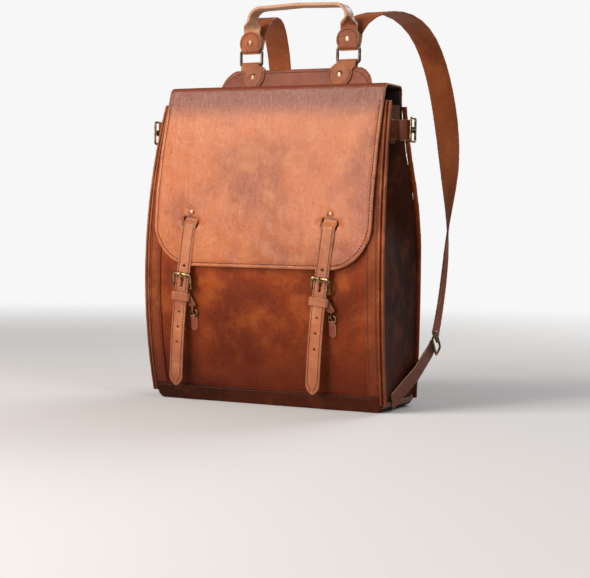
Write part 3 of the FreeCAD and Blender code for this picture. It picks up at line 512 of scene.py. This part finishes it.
def half_at(z):
    last = HALF_ROWS[0]
    for row in HALF_ROWS:
        if row[0] >= z:
            span = row[0] - last[0]
            t = (z - last[0]) / span if span > 0 else 0.0
            return last[1] + (row[1] - last[1]) * t
        last = row
    return last[1]


FRONT_TREE = node_tree("front_panel")
BACK_TREE = node_tree("back_panel")


def front_y(z):
    hit = FRONT_TREE.ray_cast(Vector((0, -0.4, min(max(z, 0.001), 0.4065))), REAR)
    return hit[0].y


def back_y(z):
    hit = BACK_TREE.ray_cast(Vector((0, 0.4, min(max(z, 0.001), 0.4245))), FRONT)
    return hit[0].y


PROFILE_STEP = 0.005            # between the heights where the two profiles are measured
FRONT_ROWS = [front_y(k * PROFILE_STEP) for k in range(84)]
BACK_ROWS = [back_y(k * PROFILE_STEP) for k in range(86)]


def row_value(rows, z):
    """A panel's y at height z, between the measured rows."""
    k = min(max(z / PROFILE_STEP, 0.0), len(rows) - 1.001)
    i = int(k)
    return rows[i] + (rows[i + 1] - rows[i]) * (k - i)


def fold_depth(y, z):
    """How far the soft side wall tucks in between the front and back panels."""
    near = row_value(FRONT_ROWS, z)
    far = row_value(BACK_ROWS, z)
    u = min(max((y - near) / (far - near), 0.0), 1.0)
    tuck = 0.030 * smooth_step((z - 0.16) / 0.17)
    hollow = 0.0035 * smooth_step(z / 0.05)
    arch = math.sin(math.pi * u)
    return hollow * arch + tuck * arch ** 1.6


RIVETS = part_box("closure_rivets")
RIVET_Z = (RIVETS[0].z + RIVETS[1].z) / 2
STRAP_X = (RIVETS[1].x - RIVETS[0].x) / 2 - 4.4 * MM
ROLL_AXIS = next(j for j in frame["joints"] if j["name"] == "roller_spin_right")["axis"]
AXIS_WAY = 1 if ROLL_AXIS[0] > 0 else -1
LEAN = math.atan2(-AXIS_WAY * ROLL_AXIS[2], AXIS_WAY * ROLL_AXIS[0])
FLAP_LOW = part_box("flap")[0].z
FLAP_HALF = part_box("flap")[1].x
FLAP_CORNER = 62.0 * MM
FLAP_TOP_Z = 405.0 * MM         # the hanging front ends here and the fold over the mouth begins
FLAP_FOLD = (-18.0 * MM, 400.0 * MM)   # y and z that the fold over the mouth bends round
FLAP_CUT_Y = -16.5 * MM         # between the two hinges
STRAP_HALF = 10.0 * MM
BODY_PITCH = 4.4 * MM           # one stitch to the next on the body and the handle panel
TAB_PITCH = 4.1 * MM
TAB_THREAD = 0.55 * MM          # radius
STRAP_DROP = 238.0 * MM         # rivet to the pointed end of a closure strap
DENT_ACROSS = 12.5 * MM         # from the strap's middle to the dent by either end of its slit
DENT_DROP = 12.0 * MM           # rivet to those dents
SWELL_DROP = 35.0 * MM          # rivet to the swelling over the hidden part of the strap
HANDLE_X = 75.0 * MM
TWIST_Z = 515.0 * MM            # where the handle strap starts to turn
PANEL_LOW_Z = 429.0 * MM        # where the handle panel's rounded shoulders start
BAR_Y = (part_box("handle_ring_right")[0].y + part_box("handle_ring_right")[1].y) / 2
PANEL_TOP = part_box("handle_panel")[1].z


def along_strap(side, across, down):
    """(x, z) of a place on a leaning closure strap, from its rivet."""
    x = side * STRAP_X + across * math.cos(LEAN) - down * math.sin(LEAN)
    z = RIVET_Z - across * math.sin(LEAN) - down * math.cos(LEAN)
    return x, z


# ---- thread ----
class Thread:
    """Rows of stitches on one body, each a short round length with a dark blob at both ends, painted shade of
    the hole it enters.
    """

    def __init__(self, name, body):
        self.name = name
        self.body = body
        self.verts = []
        self.faces = []
        self.kinds = []

    def tube(self, centres, radii, out, kind):
        """A closed, slightly flattened tube; kind 0 is thread and kind 1 the painted shade of the hole it
        enters.
        """
        base = len(self.verts)
        sides = 6
        for k, (c, r) in enumerate(zip(centres, radii)):
            along = (centres[min(k + 1, len(centres) - 1)] - centres[max(k - 1, 0)]).normalized()
            side = along.cross(out).normalized()
            up = side.cross(along).normalized()
            for i in range(sides):
                a = 2 * math.pi * i / sides
                self.verts.append(c + side * (math.cos(a) * r) + up * (math.sin(a) * r * 0.8))
        rows = len(centres)
        for k in range(rows - 1):
            for i in range(sides):
                j = (i + 1) % sides
                self.faces.append((base + k * sides + i, base + k * sides + j,
                                   base + (k + 1) * sides + j, base + (k + 1) * sides + i))
                self.kinds.append(kind)
        self.faces.append(tuple(base + i for i in reversed(range(sides))))
        self.faces.append(tuple(base + (rows - 1) * sides + i for i in range(sides)))
        self.kinds += [kind, kind]

    def stitch(self, a, b, out, r):
        way = b - a
        centres = [a - out * r * 0.9, a + way * 0.12 + out * r * 0.35, a + way * 0.5 + out * r * 0.75,
                   a + way * 0.88 + out * r * 0.35, b - out * r * 0.9]
        self.tube(centres, [r * 0.7, r * 0.95, r, r * 0.95, r * 0.7], out, 0)
        # A flat, nearly black blob at each end: painted shade of the stitch hole.
        for end, turn in ((a, -1), (b, 1)):
            lip = way.normalized() * (r * 0.8)
            self.tube([end - lip + out * 0.00002, end + out * 0.00006, end + lip + out * 0.00002],
                      [r * 0.4, r * 1.3, r * 0.4], out, 1)

    def row(self, path, pitch=BODY_PITCH, r=TAB_THREAD):
        """Stitches along a path of (point, outward) pairs, each filling 54 parts in 100 of its pitch."""
        if len(path) < 2:
            return
        lengths = [0.0]
        for (p, _), (q, _) in zip(path, path[1:]):
            lengths.append(lengths[-1] + (q - p).length)
        count = max(1, round(lengths[-1] / pitch))
        step = lengths[-1] / count
        for k in range(count):
            a, na = self.at(path, lengths, (k + 0.23) * step)
            b, nb = self.at(path, lengths, (k + 0.77) * step)
            self.stitch(a, b, (na + nb).normalized(), r)

    def at(self, path, lengths, s):
        """The (point, outward) pair at length s along the path."""
        for k in range(len(path) - 1):
            if lengths[k + 1] >= s:
                t = (s - lengths[k]) / max(lengths[k + 1] - lengths[k], 1e-9)
                return path[k][0].lerp(path[k + 1][0], t), path[k][1].lerp(path[k + 1][1], t)
        return path[-1]

    def make(self):
        piece = new_piece(self.name, self.verts, self.faces, [THREAD, HOLE_SHADE])
        piece.data.polygons.foreach_set("material_index", self.kinds)
        finish(piece, self.body)


def cast(tree, point, way):
    """The (point, normal) that a ray meets, or None."""
    hit = tree.ray_cast(point, way)
    return (hit[0], hit[1]) if hit[0] is not None else None


def front_path(tree, spots):
    """Drops (x, z) spots onto a surface from the front."""
    found = [cast(tree, Vector((x, -0.4, z)), REAR) for x, z in spots]
    return [f for f in found if f is not None]


def steps(a, b, count):
    return [a + (b - a) * k / (count - 1) for k in range(count)]


def line_spots(x0, z0, x1, z1, count=24):
    return list(zip(steps(x0, x1, count), steps(z0, z1, count)))


def arc_spots(cx, cz, r, start, end, count=16):
    angles = [math.radians(a) for a in steps(start, end, count)]
    return [(cx + r * math.cos(a), cz + r * math.sin(a)) for a in angles]


# ---- the flap ----
def flap_outward(centres):
    """Away from the middle of the fold over the top, forward below it, and rearward on the sewn strip."""
    out = centres * np.array([0.0, 1.0, 1.0]) - np.array([0.0, FLAP_FOLD[0], FLAP_FOLD[1]])
    low = centres[:, 2] < FLAP_TOP_Z
    out[low] = (0, -1, 0)
    out[low & (centres[:, 1] > -0.02)] = (0, 1, 0)
    return out


def flap_shift(co):
    """Waves over the flap, each rivet drawn into a swelling, and hollows either side of each slit."""
    x, z = co.x, co.z
    fall = smooth_step((0.425 - z) / 0.05)
    wave = 0.0011 * wander(x, z, 14.0) + 0.0006 * wander(x + 0.3 * z, z, 42.0, 3.0)
    shift = wave * (0.3 + 0.7 * fall)
    if z < 0.40:
        for side in (-1, 1):
            if abs(x - side * STRAP_X) > 0.06 or z > RIVET_Z + 0.06:
                continue
            rx, rz = along_strap(side, 0.0, 0.0)
            d = math.hypot(x - rx, (z - rz) * 0.8)
            shift += 0.0015 * bump_at(d, 0.015) - 0.0022 * bump_at(d, 0.0066)
            for edge in (-1, 1):
                sx, sz = along_strap(side, edge * DENT_ACROSS, DENT_DROP)
                shift -= 0.0022 * bump_at(math.hypot(x - sx, (z - sz) * 1.3), 0.0065)
            sx, sz = along_strap(side, 0.0, SWELL_DROP)
            shift += 0.0009 * bump_at(math.hypot(x - sx, (z - sz) * 0.5), 0.016)
        edge = min(z - FLAP_LOW, FLAP_HALF - abs(x))
        shift -= 0.0007 * bump_at(edge - 0.0052, 0.0022)
        shift += 0.0012 * bump_at(edge, 0.012) * wander(x, z, 30.0, 7.0)
    if z < FLAP_TOP_Z:
        return FRONT * shift
    return Vector((0, co.y - FLAP_FOLD[0], z - FLAP_FOLD[1])).normalized() * shift


def cut_at(piece, name, keep_front, y):
    """The half of the piece in front of, or behind, a cut across the top of the bag, closed at the cut."""
    half = bpy.data.objects.new(name, piece.data.copy())
    bpy.context.collection.objects.link(half)
    shape = bmesh.new()
    shape.from_mesh(half.data)
    geometry = list(shape.verts) + list(shape.edges) + list(shape.faces)
    bmesh.ops.bisect_plane(shape, geom=geometry, plane_co=(0, y, 0), plane_no=(0, 1, 0), dist=1e-7,
                           clear_outer=keep_front, clear_inner=not keep_front)
    bmesh.ops.holes_fill(shape, edges=[e for e in shape.edges if e.is_boundary], sides=0)
    shape.to_mesh(half.data)
    shape.free()
    return half


def make_flap():
    whole = soften("flap_whole", ["flap_back_strip", "flap_top", "flap"], 0.0015, 5)
    press(whole, flap_shift)
    paint(whole, [FLAP, RAW_EDGE, INSIDE], flap_outward)
    whole_mesh = whole.data
    tree = tree_of(whole)
    rear = cut_at(whole, "flap_rear", False, FLAP_CUT_Y)
    front = cut_at(whole, "flap_front", True, FLAP_CUT_Y)
    bpy.data.objects.remove(whole)
    bpy.data.meshes.remove(whole_mesh)
    finish(rear, None, ["flap_back_strip", "flap_top"])
    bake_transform(rear)
    finish(front, None, ["flap"])
    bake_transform(front)
    return tree


def stitch_flap(tree, thread):
    inset = 0.0052
    x = FLAP_HALF - inset
    r = FLAP_CORNER - inset
    z = FLAP_LOW + inset
    top = 0.408
    spots = line_spots(-x, top, -x, z + r, 40)
    spots += arc_spots(-x + r, z + r, r, 180, 270)[1:]
    spots += line_spots(-x + r, z, x - r, z, 40)[1:]
    spots += arc_spots(x - r, z + r, r, 270, 360)[1:]
    spots += line_spots(x, z + r, x, top, 40)[1:]
    thread.row(front_path(tree, spots), 0.0043, 0.00062)


# ---- closure straps and what hangs from them ----
def make_closure_strap(word, side, thread):
    piece = soften("closure_strap_" + word + "_leather", ["closure_strap_" + word], 0.0009, 4)
    paint(piece, [STRAP, RAW_EDGE, SUEDE], toward(0, -1, 0))
    tree = tree_of(piece)
    finish(piece, "flap", ["closure_strap_" + word])
    inset = STRAP_HALF - 0.0026
    first = 0.0140
    low = STRAP_DROP - 0.017
    for edge in (-1, 1):
        spots = [along_strap(side, edge * inset, d) for d in steps(first, low, 60)]
        for t in (0.2, 0.45, 0.7, 0.9):
            spots.append(along_strap(side, edge * inset * (1 - t) ** 0.75, low + 0.0135 * t))
        thread.row(front_path(tree, spots), 0.0040, 0.00058)


def make_small_leather(word):
    for name, voxel, body, hide in (("keeper_", 0.0006, "flap", STRAP),
                                    ("buckle_tab_", 0.0007, "flap", SMALL_TAB),
                                    ("anchor_tab_", 0.0005, "bag", SMALL_TAB)):
        piece = soften(name + word + "_leather", [name + word], voxel, 3)
        paint(piece, [hide, RAW_EDGE, DARK_EDGE], toward(0, -1, 0))
        finish(piece, body, [name + word])


# ---- the body ----
def body_shift(co):
    """Gentle slack in the front panel."""
    x, z = co.x, co.z
    inside = smooth_step((half_at(z) - 0.024 - abs(x)) / 0.04) * smooth_step((z - 0.022) / 0.03)
    return FRONT * (0.0012 * inside * wander(x, z, 13.0, 5.0) + 0.0004 * wander(x, z, 45.0, 2.0) * inside)


def make_front(thread):
    piece = soften("front_leather", ["front_panel"], 0.0022, 4)
    press(piece, body_shift)
    paint(piece, [BODY, DARK_EDGE, INSIDE], toward(0, -1, 0))
    finish(piece, "bag", ["front_panel"])
    for word, side in (("left", -1), ("right", 1)):
        strip = soften("front_strip_" + word + "_leather", ["front_strip_" + word], 0.0009, 4)
        paint(strip, [FRAME_HIDE, LIP, SUEDE], toward(0, -1, 0))
        tree = tree_of(strip)
        finish(strip, "bag", ["front_strip_" + word])
        for inset in (0.0068, 0.0182):
            spots = [(side * (half_at(z) - inset), z) for z in steps(0.024, 0.400, 80)]
            thread.row(front_path(tree, spots))
        welt = soften("front_welt_" + word + "_leather", ["front_welt_" + word], 0.0006, 3)
        paint(welt, [LIP], toward(0, -1, 0))
        finish(welt, "bag", ["front_welt_" + word])
    band = soften("bottom_band_leather", ["bottom_band"], 0.0009, 4)
    paint(band, [SHADED_BAND, LIP, SUEDE], toward(0, -1, 0))
    tree = tree_of(band)
    finish(band, "bag", ["bottom_band"])
    thread.row(front_path(tree, line_spots(-0.160, 0.0185, 0.160, 0.0185, 60)))


def gusset_shift(co):
    side = 1 if co.x > 0 else -1
    slack = 0.0012 * wander(co.y, co.z, 22.0, 4.0 + side) * smooth_step((co.z - 0.02) / 0.04)
    return Vector((-side * (fold_depth(co.y, co.z) + slack), 0, 0))


def make_sides():
    for word, side in (("left", -1), ("right", 1)):
        gusset = soften("gusset_" + word + "_leather", ["gusset_" + word], 0.0018, 4)
        press(gusset, gusset_shift)
        paint(gusset, [SHADED_SIDE_HIDE, DARK_EDGE, INSIDE], toward(side, 0, 0))
        finish(gusset, "bag", ["gusset_" + word])
        welt = soften("back_welt_" + word + "_leather", ["back_welt_" + word], 0.0011, 3)
        paint(welt, [BODY], toward(0, 1, 0))
        finish(welt, "bag", ["back_welt_" + word])


def make_back_and_bottom():
    back = soften("back_leather", ["back_panel"], 0.0024, 4)
    press(back, lambda co: REAR * (0.0010 * wander(co.x, co.z, 12.0, 9.0)))
    paint(back, [BODY, DARK_EDGE, INSIDE], toward(0, 1, 0))
    finish(back, "bag", ["back_panel"])
    bottom = soften("bottom_leather", ["bottom_panel"], 0.0018, 4)
    paint(bottom, [SHADED_SIDE_HIDE, DARK_EDGE, SUEDE], toward(0, 0, -1))
    finish(bottom, "bag", ["bottom_panel"])


def ring_points(z, inset):
    """A loop round the inside of the bag at height z, following the tucked sides."""
    near = row_value(FRONT_ROWS, z) + LEATHER + inset
    far = row_value(BACK_ROWS, z) - LEATHER - inset
    half = half_at(max(z, 0.016)) - 0.0025 - inset
    corner = 0.008
    loop = []
    for x in steps(-half + corner, half - corner, 30):
        loop.append((x, near))
    for y in steps(near + corner, far - corner, 14):
        loop.append((half - fold_depth(y, z), y))
    for x in steps(half - corner, -half + corner, 30):
        loop.append((x, far))
    for y in steps(far - corner, near + corner, 14):
        loop.append((-half + fold_depth(y, z), y))
    return [Vector((x, y, z)) for x, y in loop]


def make_lining():
    heights = steps(0.0035, 0.3985, 60)
    verts = []
    for z in heights:
        verts += ring_points(z, 0.0004)
    count = len(verts) // len(heights)
    faces = []
    for k in range(len(heights) - 1):
        for i in range(count):
            j = (i + 1) % count
            faces.append((k * count + i, (k + 1) * count + i, (k + 1) * count + j, k * count + j))
    faces.append(tuple(range(count)))
    piece = new_piece("lining_bag", verts, faces, [CLOTH])
    wall = piece.modifiers.new("wall", "SOLIDIFY")
    wall.thickness = 0.0009
    wall.offset = 1.0
    settle(piece)
    finish(piece, "bag", ["lining"])


def make_sleeve():
    """A flat pocket sewn to the back wall, open at the top."""
    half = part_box("inner_sleeve")[1].x
    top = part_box("inner_sleeve")[1].z
    verts = []
    heights = steps(0.0075, top, 20)
    for z in heights:
        far = row_value(BACK_ROWS, z) - LEATHER - 0.0024
        depth = 0.0155
        near = far - depth
        section = [(-half, far), (-half, far - 0.004), (-half, near + 0.003), (-half + 0.003, near)]
        section += [(x, near) for x in steps(-half + 0.02, half - 0.02, 16)]
        section += [(half - 0.003, near), (half, near + 0.003), (half, far - 0.004), (half, far)]
        verts += [Vector((x, y, z)) for x, y in section]
    count = len(verts) // len(heights)
    faces = []
    for k in range(len(heights) - 1):
        for i in range(count - 1):
            a = k * count + i
            faces.append((a, a + 1, a + count + 1, a + count))
    piece = new_piece("inner_sleeve_cloth", verts, faces, [CLOTH])
    wall = piece.modifiers.new("wall", "SOLIDIFY")
    wall.thickness = 0.0016
    wall.offset = 0.0
    settle(piece)
    finish(piece, "bag", ["inner_sleeve"])


# ---- the handle and its straps ----
def panel_spots(half):
    """The stitch line just inside the handle panel's rounded outline."""
    inset = 0.0052
    start = PANEL_LOW_Z - 0.0005
    rise = (PANEL_TOP - inset - PANEL_LOW_Z) / 0.0295
    corner = line_spots(-half + 0.0045, 0.421, -half + 0.0048, start, 4)
    corner += arc_spots(-half + 0.0345, start, 0.030, 180, 96, 24)[1:]
    spots = [(x, z if z < PANEL_LOW_Z else PANEL_LOW_Z + (z - PANEL_LOW_Z) * rise) for x, z in corner]
    spots += line_spots(-half + 0.034, PANEL_TOP - inset, 0.0, PANEL_TOP - inset, 30)[1:]
    return spots + [(-x, z) for x, z in reversed(spots[:-1])]


def make_handle_panel(thread):
    panel = soften("handle_panel_leather", ["handle_panel"], 0.0014, 4)
    paint(panel, [PANEL, RAW_EDGE, PANEL], toward(0, -1, 0))
    tree = tree_of(panel)
    finish(panel, "bag", ["handle_panel"])
    thread.row(front_path(tree, panel_spots(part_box("handle_panel")[1].x)))


def make_folded_tab(name, node, body, spots, thread):
    tab = soften(name, [node], 0.0008, 3)
    paint(tab, [TAB, RAW_EDGE, SUEDE], tab_outward)
    tree = tree_of(tab)
    finish(tab, body, [node])
    thread.row(front_path(tree, spots), TAB_PITCH)


def make_handle(thread_bag, thread_handle):
    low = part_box("lower_handle_tab_right")[0].z
    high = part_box("end_tab_right")[1].z
    for word, side in (("left", -1), ("right", 1)):
        spots = arc_spots(side * (HANDLE_X - 0.008), low + 0.0180, 0.0150, 150, 390, 30)
        make_folded_tab("lower_tab_" + word + "_leather", "lower_handle_tab_" + word,
                        "bag", spots, thread_bag)
        spots = arc_spots(side * HANDLE_X, high - 0.0170, 0.0140, -25, 205, 30)
        make_folded_tab("end_tab_" + word + "_leather", "end_tab_" + word, "handle", spots, thread_handle)
    strap = soften("handle_strap_leather", ["handle_strap"], 0.0011, 10)
    paint(strap, [TAB, RAW_EDGE, SUEDE], handle_outward)
    finish(strap, "handle", ["handle_strap"])


def tab_outward(centres):
    """Forward on the front leaf of a folded tab, to the rear on the other."""
    out = np.zeros_like(centres)
    out[:, 1] = np.where(centres[:, 1] < BAR_Y, -1.0, 1.0)
    return out


def handle_outward(centres):
    """The grain side of the twisted handle strap."""
    corner_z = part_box("handle_strap")[1].z - 0.0215
    share = np.clip((centres[:, 2] - TWIST_Z) / (corner_z - TWIST_Z), 0, 1)
    turn = np.radians(90) * share * share * (3 - 2 * share)
    side = np.where(centres[:, 0] > 0, 1.0, -1.0)
    out = np.stack([side * np.sin(turn), -side * np.cos(turn), np.zeros_like(turn)], axis=1)
    arch = centres[:, 2] > corner_z
    out[arch] = np.stack([centres[arch, 0] * 0.3, np.zeros(arch.sum()), np.full(arch.sum(), 0.05)], axis=1)
    return out


def make_straps():
    for word, side in (("left", -1), ("right", 1)):
        strap = soften("shoulder_strap_" + word + "_leather", ["shoulder_strap_" + word], 0.0010, 14)
        strap.data.materials.append(SHOULDER)
        finish(strap, None, ["shoulder_strap_" + word])
        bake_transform(strap)
        lower = soften("lower_strap_" + word + "_leather", ["lower_strap_" + word], 0.0008, 8)
        paint_band(lower, [DARK_TAB, RAW_EDGE, SUEDE], (0, -0.5, 0.86), (side, 0, 0))
        finish(lower, "bag", ["lower_strap_" + word])
        cinch = soften("cinch_strap_" + word + "_leather", ["cinch_strap_" + word], 0.0008, 4)
        paint_band(cinch, [DARK_TAB, RAW_EDGE, SUEDE], (0, 0, 1), (side, 0, 0))
        finish(cinch, "bag", ["cinch_strap_" + word])


# ---- metal ----
def dress_metal():
    """Finishes for the metal nodes, which show as they are."""
    brass_names = ("buckle_left", "buckle_right", "roller", "prong", "anchor_hook", "anchor_ring",
                   "lower_buckle", "cinch_buckle")
    for name, node in frame["nodes"].items():
        if "rivets" in name:
            finish_with = COPPER
        elif name.startswith("handle_ring"):
            finish_with = BRONZE
        elif name.startswith(brass_names):
            finish_with = BRASS
        else:
            continue
        for slot in node.material_slots:
            slot.material = finish_with
        if not node.material_slots:
            node.data.materials.append(finish_with)


def main():
    make_camera()
    make_world()
    make_stage()
    area_light("key", (-1.2, -1.9, 2.1), (0, 0, 0.25), (1.2, 1.2), 60.0, (1.0, 0.95, 0.87))
    area_light("sheen", (-0.52, -1.84, 0.66), (0.05, 0, 0.28), (0.5, 0.5), 17.0, (1.0, 0.90, 0.90))
    area_light("side", (2.0, -0.9, 1.5), (0.1, 0, 0.30), (0.7, 0.7), 9.0)
    area_light("rear", (0.6, 2.2, 1.7), (0, 0, 0.35), (1.6, 1.0), 34.0)
    bpy.context.scene.view_settings.view_transform = "Standard"
    dress_metal()
    flap_thread = Thread("flap_stitches", "flap")
    bag_thread = Thread("bag_stitches", "bag")
    handle_thread = Thread("handle_stitches", "handle")
    tree = make_flap()
    stitch_flap(tree, flap_thread)
    for word, side in (("left", -1), ("right", 1)):
        make_closure_strap(word, side, flap_thread)
        make_small_leather(word)
    make_front(bag_thread)
    make_sides()
    make_back_and_bottom()
    make_lining()
    make_sleeve()
    make_handle_panel(bag_thread)
    make_handle(bag_thread, handle_thread)
    make_straps()
    flap_thread.make()
    bag_thread.make()
    handle_thread.make()


main()
